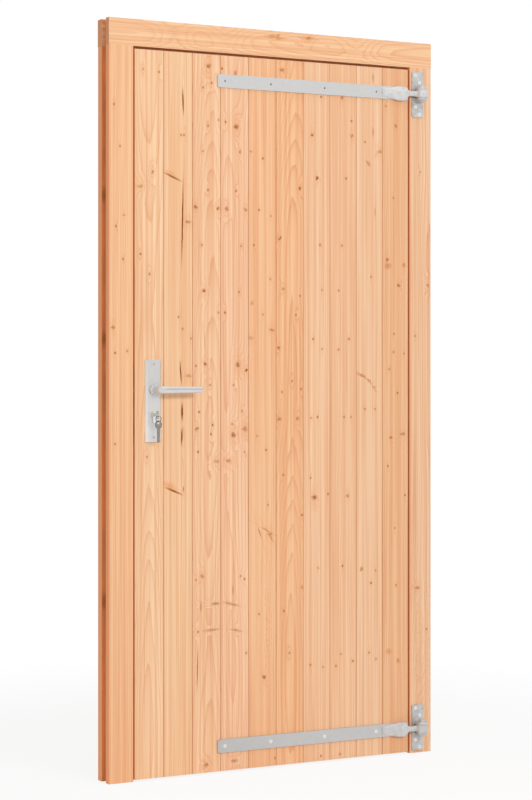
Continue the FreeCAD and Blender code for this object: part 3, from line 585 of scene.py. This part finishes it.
def make_wood(name, log, marks=(), groove=None, painted_edge=None):
    """Planed softwood, sawn from a log. The last argument is the tint of the faces that look sideways and its
    share: painted shade, warmed as by light bounced in the joints, the gaps and the frame's sides.
    """
    material, g, shader = new_material(name)
    coords = g.node("ShaderNodeTexCoord").outputs
    place = g.turned(coords["Object"], log.turn)
    own = g.vector("ADD", place, tuple(log.seed * step for step in SEED_STEPS))
    fibre = wood_noise(g, own, "fibre")
    marked = mark_wood(g, place, own, marks)
    late = late_wood(g, place, own, log, marked.bend)
    tone = wood_tone(g, own, log, late, marked, fibre)
    # Faces that look sideways get painted shade.
    if painted_edge:
        painted_edge_tint, painted_edge_share = painted_edge
        slant = g.math("ABSOLUTE", g.split(coords["Normal"])[X])
        tone = g.mix(g.times(g.fade(slant, *EDGE_SHADE_FADE), painted_edge_share), tone, painted_edge_tint)
    cut_end = g.math("ABSOLUTE", g.split(g.turned(coords["Normal"], log.turn))[Z])
    tone = g.mix(g.times(g.fade(cut_end, *END_FADE), END_SHARE), tone, END_WOOD)
    # The wall grooves get painted shade, warmed as by bounced light.
    if groove:
        tone = g.mix(groove_shade_share(g, coords["Object"], groove), tone, groove_shade_tone(g, place, own))
    g.feed(shader.inputs["Base Color"], tone)
    g.feed(shader.inputs["Roughness"], g.spread(fibre, *WOOD_ROUGHNESS))
    shader.inputs["Specular IOR Level"].default_value = WOOD_GLOSS
    height = g.math("ADD", g.times(fibre, FIBRE_HEIGHT), g.times(late, LATE_HEIGHT))
    height = g.math("ADD", height, g.times(marked.heart, HEART_HEIGHT))
    g.feed(shader.inputs["Normal"], g.bump(height, *WOOD_BUMP))
    return material


def log_of(name, seed, heart, colour, turn=0.0):
    """The log of a timber. heart is (mm from the timber's middle, mm behind the face, ring in mm, taper)."""
    low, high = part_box(name)
    middle = Matrix.Rotation(turn, 3, "Y") @ ((low + high) / 2)
    across, behind, ring, taper = heart
    return Log(seed, middle.x + across * MM, FACE_Y + behind * MM, ring * MM, taper, colour, turn)


# Each board: where the heart of its log lies from the board's middle (mm across, mm behind), the width of
# its growth rings (mm), its taper and its tint, from the lock side to the hinge side.
BOARD_LOOKS = (
    (4, 95, 4.5, 0.012, (1.0, 1.035, 1.07)),
    (-160, 40, 5.0, 0.0, (0.99, 1.025, 1.04)),
    (6, 88, 4.6, 0.02, (0.98, 0.99, 1.035)),
    (-10, 90, 4.2, -0.012, (0.99, 1.0, 1.08)),
    (-120, 30, 4.4, 0.0, (0.97, 0.91, 0.88)),
    (8, 84, 5.0, 0.03, (0.96, 0.89, 0.84)),
    (-100, 40, 4.5, 0.0, (0.97, 0.995, 1.06)),
    (105, 50, 4.6, 0.003, (0.96, 0.965, 1.01)),
    (140, 40, 5.0, 0.0, (0.96, 1.005, 1.08)),
    (-85, 60, 4.6, -0.004, (0.92, 0.86, 0.83)),
)
# The joints and edges of the boards get painted shade.
SEAM_SHADE_SHARE = 0.35
for number, (name, look) in enumerate(zip(BOARDS, BOARD_LOOKS), start=1):
    *heart, colour = look
    low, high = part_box(name)
    seam = high.x if name == BOARDS[-1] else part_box(BOARDS[number])[0].x
    marks = marks_of(low.x, seam, low.z, high.z)
    log = log_of(name, number, heart, colour)
    dress(NODES[name], make_wood("timber_" + name, log, marks, painted_edge=(SEAM_SHADE_WOOD, SEAM_SHADE_SHARE)))

# Each timber of the frame: its seed, its log as above, the turn of its grain, its tint, the stretch of the
# front face that its marks are taken from, and its groove.
LEVEL_GRAIN = math.pi / 2
FRAME_LOOKS = {
    "lock_jamb": (
        21, (-85, 40, 4.6, 0.0), 0.0, (0.99, 0.95, 0.92),
        (CAD_LOW.x, LEAF_LEFT, 0, LEAF_TOP), Groove(X, CAD_LOW.x, CAD_LOW.x + GROOVE_DEPTH),
    ),
    "hinge_jamb": (
        22, (48, 55, 4.8, 0.01), 0.0, (0.93, 0.95, 1.0),
        (LEAF_RIGHT, CAD_HIGH.x, 0, LEAF_TOP), Groove(X, CAD_HIGH.x, CAD_HIGH.x - GROOVE_DEPTH),
    ),
    "head": (
        23, (8, 70, 4.8, 0.02), LEVEL_GRAIN, (0.98, 0.96, 0.95),
        (CAD_LOW.x, CAD_HIGH.x, LEAF_TOP, CAD_HIGH.z), Groove(Z, CAD_HIGH.z, CAD_HIGH.z - GROOVE_DEPTH),
    ),
}
# The sides of the frame get painted shade.
SIDE_SHADE_SHARE = 0.85
for name, (seed, heart, turn, colour, stretch, groove) in FRAME_LOOKS.items():
    log = log_of(name, seed, heart, colour, turn)
    wood = make_wood("timber_" + name, log, marks_of(*stretch, turn), groove, (SIDE_SHADE_WOOD, SIDE_SHADE_SHARE))
    dress(NODES[name], wood)

BRACE_WIDTH = 110 * MM
FIRST_LEAN = math.radians(40)
LEAN_STEPS = 8


def brace_lean(name):
    """The angle between a brace and the upright, towards the lock side. Its box and its width give it."""
    low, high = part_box(name)
    lean = FIRST_LEAN
    for _ in range(LEAN_STEPS):
        lean = math.atan2(high.x - low.x - BRACE_WIDTH / math.cos(lean), high.z - low.z)
    return lean


# Ledges and braces are alike, apart from where the heart of the log lies across them.
BACK_SEED = 31
BACK_HEARTS = (-28, -14, 0, 14, 28)
BACK_LOG = (140, 4.6, 0.015)
BACK_COLOUR = (0.98, 0.96, 0.94)
for seed, (name, across) in enumerate(zip(LEDGES + BRACES, BACK_HEARTS), start=BACK_SEED):
    turn = LEVEL_GRAIN if name in LEDGES else brace_lean(name)
    log = log_of(name, seed, (across, *BACK_LOG), BACK_COLOUR, turn)
    dress(NODES[name], make_wood("timber_" + name, log))

# Hot dip galvanised steel: its tint, its noise with scales and detail, and how its crystals and welds show.
ZINC_TINT = (1.0, 0.995, 0.985, 1.0)
ZINC_METALLIC = 0.6
ZINC_NOISE = {
    "shake": ((60, 60, 60), 2.0),
    "cloud": ((28, 28, 28), 3.0),
    "grain": ((420, 420, 420), 2.0),
    "weld": ((150, 150, 150), 3.0),
}
CRYSTAL_SHAKE = 12 * MM
CRYSTAL_SCALE = 110
CRYSTAL_SHARE, CLOUD_SHARE = 0.55, 0.45
ZINC_ROUGHNESS = (0.46, 0.62)
ZINC_GRAIN_HEIGHT = 0.1
ZINC_BUMP = (1.5 * MM, 0.6)
WELD_FLECKS = 0.24
# The weld is painted lighter: a painted highlight on the swelling of the arm.
WELD_PAINTED_HIGHLIGHT = 0.05
WELD_FADE = 20 * MM


def make_zinc(name, light, flecks, weld_from=None):
    """Galvanised steel. flecks is how much its crystals show; a weld begins at weld_from along X."""
    material, g, shader = new_material(name)
    place = g.node("ShaderNodeTexCoord").outputs["Object"]
    shake = g.vector("MULTIPLY", g.noise(place, *ZINC_NOISE["shake"], "Color"), (CRYSTAL_SHAKE,) * 3)
    crystals = g.cells(g.vector("ADD", place, shake), CRYSTAL_SCALE)
    cloud = g.noise(place, *ZINC_NOISE["cloud"])
    weld = 0.0
    if weld_from is not None:
        weld = g.fade(g.split(place)[X], weld_from, weld_from + WELD_FADE)
    contrast = g.spread(weld, flecks, WELD_FLECKS)
    mottle = g.math("ADD", g.times(crystals, CRYSTAL_SHARE), g.times(cloud, CLOUD_SHARE))
    shade = g.math("MULTIPLY_ADD", g.math("SUBTRACT", mottle, NOISE_MIDDLE), contrast, light)
    # Painted highlight over the weld.
    shade = g.math("MULTIPLY_ADD", weld, WELD_PAINTED_HIGHLIGHT, shade)
    g.feed(shader.inputs["Base Color"], g.shaded(ZINC_TINT, shade))
    g.feed(shader.inputs["Roughness"], g.spread(crystals, *ZINC_ROUGHNESS))
    shader.inputs["Metallic"].default_value = ZINC_METALLIC
    height = g.times(g.noise(place, *ZINC_NOISE["grain"]), ZINC_GRAIN_HEIGHT)
    height = g.math("ADD", height, g.times(g.noise(place, *ZINC_NOISE["weld"]), weld))
    g.feed(shader.inputs["Normal"], g.bump(height, *ZINC_BUMP))
    return material


# Plain metals with a fine finish: how much its lines and clouds show, and how rough and deep the lines are.
FINISH_DETAIL = 3.0
FINISH_SHARE = 0.16
FINISH_CLOUD = ((45, 45, 45), 2.0)
FINISH_CLOUD_SHARE = 0.1
FINISH_BASE = 0.87
FINISH_ROUGH_SPREAD = 0.07
FINISH_BUMP = 0.4
# A painted reflection: a soft dark line along the front of the lever's grip. The normals it lies between, up
# and to the front, how dark it is, and how far from the lever's start it is full.
GRIP_REFLECTION_UNDER, GRIP_REFLECTION_OVER = (-0.25, 0.12), (0.6, 0.25)
GRIP_REFLECTION_FRONT = (-0.5, -0.75)
GRIP_REFLECTION_DARK = 0.3
GRIP_REFLECTION_RUN = 45 * MM
# Painted light on the lever plates: painted shade darkens them towards the top, and their edge on the lock
# side has a painted highlight.
PLATE_PAINTED_SHADES = (1.03, 0.88)
PLATE_PAINTED_EDGE = (-0.2, -0.6)
PLATE_PAINTED_EDGE_LIGHT = 1.14


def paint_grip_reflection(g, place, normal, shade):
    """The shade of a lever with its dark line, a painted reflection."""
    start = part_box("outer_lever")[0].x
    line = g.times(g.fade(normal[Z], *GRIP_REFLECTION_UNDER), g.fade(normal[Z], *GRIP_REFLECTION_OVER))
    line = g.times(line, g.fade(normal[Y], *GRIP_REFLECTION_FRONT))
    line = g.times(line, g.fade(g.split(place)[X], start, start + GRIP_REFLECTION_RUN))
    return g.times(shade, g.spread(line, 1.0, 1.0 - GRIP_REFLECTION_DARK))


def paint_plate_light(g, place, normal, shade):
    """Painted shade on a lever plate from its foot to its top, and a painted highlight on its edge on the
    lock side.
    """
    low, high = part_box("outer_lever_plate")
    rise = g.fade(g.split(place)[Z], low.z, high.z)
    painted_edge = g.fade(normal[X], *PLATE_PAINTED_EDGE)
    shade = g.times(shade, g.spread(rise, *PLATE_PAINTED_SHADES))
    return g.times(shade, g.spread(painted_edge, 1.0, PLATE_PAINTED_EDGE_LIGHT))


# Each metal: its tint, its roughness, the lines of its finish a metre, how deep they are (mm), how metallic
# it is, how the lines are stretched along each axis, and what paints light or shade on it.
EVEN = (1, 1, 1)
LEVEL_LINES = (0.1, 1, 1)
UPRIGHT_LINES = (1, 1, 0.05)
METAL_LOOKS = {
    "screw_zinc": ((212, 212, 210), 0.4, 900, 0.1, 0.7, EVEN, None),
    # The bright screw head is a painted glint, and the dark and pale recesses are painted shade.
    "screw_zinc_painted_glint": ((236, 236, 235), 0.35, 900, 0.1, 0.7, EVEN, None),
    "screw_recess_painted_shade": ((40, 38, 35), 0.5, 900, 0.1, 1.0, EVEN, None),
    "screw_recess_faint_painted_shade": ((150, 149, 146), 0.5, 900, 0.1, 1.0, EVEN, None),
    "lever_aluminium_plate": ((221, 220, 218), 0.45, 1500, 0.06, 0.6, LEVEL_LINES, paint_plate_light),
    "lever_aluminium_grip": ((222, 222, 222), 0.45, 1500, 0.06, 0.42, LEVEL_LINES, paint_grip_reflection),
    "lock_steel_passivated": ((206, 172, 118), 0.42, 1600, 0.06, 1.0, UPRIGHT_LINES, None),
    "cylinder_nickel_satin": ((236, 234, 228), 0.3, 1400, 0.05, 1.0, EVEN, None),
    "key_nickel_bright": ((206, 204, 198), 0.25, 1400, 0.05, 1.0, EVEN, None),
    "key_nickel_dull": ((150, 150, 147), 0.4, 1400, 0.05, 1.0, EVEN, None),
    "ring_steel_bright": ((84, 84, 84), 0.25, 1000, 0.03, 1.0, EVEN, None),
}


def make_metal(name):
    """One of the plain metals."""
    colour, rough, grain, depth, metallic, stretch, paint_light = METAL_LOOKS[name]
    material, g, shader = new_material(name)
    coords = g.node("ShaderNodeTexCoord").outputs
    place = coords["Object"]
    lines = g.noise(place, tuple(grain * share for share in stretch), FINISH_DETAIL)
    cloud = g.noise(place, *FINISH_CLOUD)
    shade = g.math("ADD", g.times(lines, FINISH_SHARE), g.times(cloud, FINISH_CLOUD_SHARE))
    shade = g.math("ADD", shade, FINISH_BASE)
    if paint_light:
        shade = paint_light(g, place, g.split(coords["Normal"]), shade)
    g.feed(shader.inputs["Base Color"], g.shaded(tint(*colour), shade))
    roughness = g.spread(lines, rough - FINISH_ROUGH_SPREAD, rough + FINISH_ROUGH_SPREAD)
    g.feed(shader.inputs["Roughness"], roughness)
    shader.inputs["Metallic"].default_value = metallic
    g.feed(shader.inputs["Normal"], g.bump(lines, depth * MM, FINISH_BUMP))
    return material


METALS = {name: make_metal(name) for name in METAL_LOOKS}
# Each galvanised steel: how light it is, how much its crystals show, and where its weld begins along X.
ARM_REACH = 150 * MM
arm_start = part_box("upper_strap")[1].x - ARM_REACH
ZINC_LOOKS = {
    # The lower strap's steel is a darker copy of the upper strap's: painted shade.
    "hinge_steel_strap_lit": (0.64, 0.08, arm_start),
    "hinge_steel_strap_shaded": (0.59, 0.08, arm_start),
    "hinge_steel_plate": (0.58, 0.3),
}
METALS.update({name: make_zinc(name, *look) for name, look in ZINC_LOOKS.items()})
METAL_NODES = {
    "hinge_steel_strap_lit": ("upper_strap",),
    "hinge_steel_strap_shaded": ("lower_strap",),
    "hinge_steel_plate": ("upper_hinge_plate", "lower_hinge_plate", "upper_hinge_pin", "lower_hinge_pin"),
    "lever_aluminium_plate": ("outer_lever_plate", "inner_lever_plate"),
    "lever_aluminium_grip": ("outer_lever", "inner_lever"),
    "lock_steel_passivated": ("lock_forend", "strike_plate", "lever_spindle"),
    "cylinder_nickel_satin": ("lock_cylinder",),
    "key_nickel_bright": ("key",),
    "key_nickel_dull": ("spare_key",),
    "ring_steel_bright": ("key_ring",),
}
for metal, names in METAL_NODES.items():
    for name in names:
        dress(NODES[name], METALS[metal])

# Countersunk screws with a cross recess. Each ring is (share of the head's radius, share of it in height).
SCREW_STEPS = 32
SCREW_RIM = ((0.5, -0.5), (1.0, -0.07), (0.95, 0.0))
RECESS_ROOT, RECESS_ARM, RECESS_SHARP = 0.3, 0.32, 4
RECESS_TAPER, RECESS_DEPTH, RECESS_POINT = 0.8, -0.32, -0.4


def add_screw(shape, place, radius):
    """Adds a head to the shape. place takes +Z to the way that the head looks."""
    rings = []

    def ring(reach, level):
        points = []
        for step in range(SCREW_STEPS):
            angle = math.tau * step / SCREW_STEPS
            share = reach(angle)
            point = Vector((math.cos(angle) * share, math.sin(angle) * share, level)) * radius
            points.append(shape.verts.new(place @ point))
        rings.append(points)

    def cross(angle):
        return RECESS_ROOT + RECESS_ARM * abs(math.cos(2 * angle)) ** RECESS_SHARP

    for share, level in SCREW_RIM:
        ring(lambda angle, share=share: share, level)
    ring(cross, 0.0)
    ring(lambda angle: cross(angle) * RECESS_TAPER, RECESS_DEPTH)
    for outer, inner in zip(rings, rings[1:]):
        for step in range(SCREW_STEPS):
            after = (step + 1) % SCREW_STEPS
            face = shape.faces.new((outer[step], outer[after], inner[after], inner[step]))
            face.material_index = int(inner is rings[-1])
    point = shape.verts.new(place @ Vector((0, 0, RECESS_POINT * radius)))
    for step in range(SCREW_STEPS):
        face = shape.faces.new((rings[-1][step], rings[-1][(step + 1) % SCREW_STEPS], point))
        face.material_index = 1
    shape.faces.new(list(reversed(rings[0])))


# The metal of a screw's head and of its recess. A dark or pale recess is painted shade, and a bright head is
# a painted glint.
SHADED_CROSS = ("screw_zinc", "screw_recess_painted_shade")
FAINTLY_SHADED_CROSS = ("screw_zinc", "screw_recess_faint_painted_shade")
GLINT_HEAD = ("screw_zinc_painted_glint", "screw_zinc_painted_glint")
# Each screw's recess is turned this much further than the one before.
SCREW_TURN = 0.9


def make_screws(name, body, points, outward, radius, metals):
    """One piece with a head at each point. The heads look outward."""
    shape = bmesh.new()
    facing = outward.to_track_quat("Z", "Y").to_matrix().to_4x4()
    for number, point in enumerate(points):
        turn = Matrix.Rotation(SCREW_TURN * number, 4, "Z")
        add_screw(shape, Matrix.Translation(point) @ facing @ turn, radius)
    mesh = bpy.data.meshes.new(name)
    shape.to_mesh(mesh)
    shape.free()
    obj = bpy.data.objects.new(name, mesh)
    bpy.context.scene.collection.objects.link(obj)
    for metal in metals:
        mesh.materials.append(METALS[metal])
    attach(obj, body)


FRONT = Vector((0, -1, 0))
BACK = Vector((0, 1, 0))
HINGE_HEAD = 5.9 * MM
LEVER_HEAD = 4.4 * MM
WOOD_HEAD = 4.6 * MM
HEAD_SUNK = 0.25 * MM
HEAD_PROUD = 0.15 * MM

# Straps: where their holes stand along them, and the height of each bar and the metal of its screws.
STRAP_HOLE_XS = (-0.6814, -0.5268, -0.3408, -0.1575)
STRAP_THICKNESS = 6 * MM
# The upper strap's screws have painted shade in their recesses, and the lower strap's heads a painted glint.
STRAP_SCREWS = {
    "upper_strap": (2.0385, SHADED_CROSS),
    "lower_strap": (0.079, GLINT_HEAD),
}
for name, (bar_z, metals) in STRAP_SCREWS.items():
    face = FACE_Y - STRAP_THICKNESS + HEAD_SUNK
    points = [Vector((x, face, bar_z)) for x in STRAP_HOLE_XS]
    make_screws(name + "_screws", "leaf", points, FRONT, HINGE_HEAD, metals)

# Hinge plates: each hole's place along X and its height from the plate's middle.
HINGE_PLATE_THICKNESS = 5 * MM
HINGE_PLATE_HOLES = ((-0.014, 0.060), (0.001, 0.038), (-0.014, -0.038), (0.001, -0.060))
hinge_points = []
for name in ("upper_hinge_plate", "lower_hinge_plate"):
    low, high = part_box(name)
    middle = (low.z + high.z) / 2
    face = FACE_Y - HINGE_PLATE_THICKNESS + HEAD_SUNK
    hinge_points += [Vector((x, face, middle + rise)) for x, rise in HINGE_PLATE_HOLES]
# The hinge plates' screw heads carry a painted glint.
make_screws("hinge_plate_screws", "frame", hinge_points, FRONT, HINGE_HEAD, GLINT_HEAD)

LEVER_HOLE_INSET = 13 * MM
for name, outward in (("outer_lever_plate", FRONT), ("inner_lever_plate", BACK)):
    low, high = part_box(name)
    middle = (low.x + high.x) / 2
    face = low.y + HEAD_SUNK if outward == FRONT else high.y - HEAD_SUNK
    points = [Vector((middle, face, z)) for z in (low.z + LEVER_HOLE_INSET, high.z - LEVER_HOLE_INSET)]
    make_screws(name + "_screws", "leaf", points, outward, LEVER_HEAD, FAINTLY_SHADED_CROSS)

# Wood screws that hold the boards, driven from behind through the ledges and braces, two for each board.
BOARD_MIDDLES = [(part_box(name)[0].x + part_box(name)[1].x) / 2 for name in BOARDS]
SIDES = (-1, 1)
LEDGE_STEP_X, LEDGE_STEP_Z = 18 * MM, 38 * MM
LEDGE_END_ROOM = 24 * MM
ledge_points = []
for name in LEDGES:
    low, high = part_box(name)
    middle = (low.z + high.z) / 2
    for x in BOARD_MIDDLES:
        for side in SIDES:
            across = min(max(x + side * LEDGE_STEP_X, low.x + LEDGE_END_ROOM), high.x - LEDGE_END_ROOM)
            ledge_points.append(Vector((across, high.y + HEAD_PROUD, middle + side * LEDGE_STEP_Z)))
make_screws("ledge_screws", "leaf", ledge_points, BACK, WOOD_HEAD, SHADED_CROSS)

BRACE_STEP = 26 * MM
BRACE_END_ROOM = 60 * MM
brace_points = []
for name in BRACES:
    low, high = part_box(name)
    lean = brace_lean(name)
    half_cut = BRACE_WIDTH / math.cos(lean) / 2
    along = Vector((-math.sin(lean), 0, math.cos(lean)))
    aside = Vector((math.cos(lean), 0, math.sin(lean)))
    foot = Vector((high.x - half_cut, high.y + HEAD_PROUD, low.z))
    for x in BOARD_MIDDLES:
        run = (foot.x - x) / math.sin(lean)
        top_room = (high.z - low.z) / math.cos(lean) - run
        if min(run, top_room) > BRACE_END_ROOM:
            for side in SIDES:
                brace_points.append(foot + along * run + aside * side * BRACE_STEP)
make_screws("brace_screws", "leaf", brace_points, BACK, WOOD_HEAD, SHADED_CROSS)


def make_camera():
    """The photograph's camera."""
    camera_data = bpy.data.cameras.new("photo_camera")
    camera_data.sensor_fit = "VERTICAL"
    camera_data.sensor_height = SENSOR_HEIGHT
    camera_data.sensor_width = SENSOR_HEIGHT
    camera_data.lens = FOCAL_PIXELS / PHOTO_HEIGHT * SENSOR_HEIGHT
    camera_data.shift_y = (HORIZON_ROW - PHOTO_HEIGHT / 2) / PHOTO_HEIGHT
    camera = bpy.data.objects.new("photo_camera", camera_data)
    camera.location = CAMERA_PLACE
    camera.rotation_euler = (math.pi / 2, 0, -CAMERA_YAW)
    bpy.context.scene.collection.objects.link(camera)
    bpy.context.scene.camera = camera


# The floor: half its side, how far it lies under the door, where it fades out, and how white it is seen.
FLOOR_HALF = 3.0
FLOOR_DROP = 0.5 * MM
FLOOR_FADE = (0.9, 2.6)
FLOOR_WHITE_SHARE = 0.85
FLOOR_COLOUR = (0.94, 0.94, 0.94, 1.0)
FLOOR_ROUGHNESS = 0.9
FLOOR_CORNERS = ((-1, -1), (1, -1), (1, 1), (-1, 1))


def make_floor():
    """A pale floor under the door that fades out into the white round it."""
    mesh = bpy.data.meshes.new("studio_floor")
    corners = [(x * FLOOR_HALF + DOOR_MIDDLE.x, y * FLOOR_HALF, -FLOOR_DROP) for x, y in FLOOR_CORNERS]
    mesh.from_pydata(corners, [], [(0, 1, 2, 3)])
    floor = bpy.data.objects.new("studio_floor", mesh)
    bpy.context.scene.collection.objects.link(floor)
    material, g, shader = new_material("studio_floor")
    shader.inputs["Base Color"].default_value = FLOOR_COLOUR
    shader.inputs["Roughness"].default_value = FLOOR_ROUGHNESS
    shader.inputs["Specular IOR Level"].default_value = 0.0
    white = g.node("ShaderNodeEmission")
    white.inputs["Strength"].default_value = 1.0
    place = g.node("ShaderNodeTexCoord").outputs["Object"]
    reach = g.length(g.vector("SUBTRACT", place, (DOOR_MIDDLE.x, 0, 0)))
    clear = g.node("ShaderNodeBsdfTransparent").outputs[0]
    lit = g.over(g.times(g.seen(), FLOOR_WHITE_SHARE), shader.outputs[0], white.outputs[0])
    surface = g.over(g.fade(reach, *FLOOR_FADE), lit, clear)
    g.feed(material.node_tree.nodes["Material Output"].inputs["Surface"], surface)
    dress(floor, material)


WORLD_LIGHT = 0.58
WHITE = (1.0, 1.0, 1.0, 1.0)
# Each lamp: where it stands, what it looks at, its width and height, its power, and whether metal shows it.
LAMPS = {
    "key_lamp": (Vector((-0.45, -4.7, 2.5)), Vector((-0.5, 0, 1.05)), (2.2, 0.7), 94, False),
    "top_lamp": (Vector((-0.6, -1.9, 5.0)), Vector((-0.5, -0.2, 1.0)), (3.0, 3.0), 18, True),
}


def make_light():
    """White all round, seen whole by camera and metal, one soft lamp in front and a broad faint one above."""
    world = bpy.data.worlds.new("studio_world")
    world.use_nodes = True
    g = Graph(world.node_tree)
    background = world.node_tree.nodes["Background"]
    background.inputs["Color"].default_value = WHITE
    g.feed(background.inputs["Strength"], g.spread(g.seen(), WORLD_LIGHT, 1.0))
    bpy.context.scene.world = world
    for name, (place, aim, size, power, shown) in LAMPS.items():
        lamp_data = bpy.data.lights.new(name, "AREA")
        lamp_data.shape = "RECTANGLE"
        lamp_data.size, lamp_data.size_y = size
        lamp_data.energy = power
        lamp = bpy.data.objects.new(name, lamp_data)
        lamp.location = place
        lamp.rotation_euler = (aim - place).to_track_quat("-Z", "Y").to_euler()
        lamp.visible_glossy = shown
        bpy.context.scene.collection.objects.link(lamp)


make_camera()
make_floor()
make_light()
bpy.context.scene.view_settings.view_transform = "Standard"
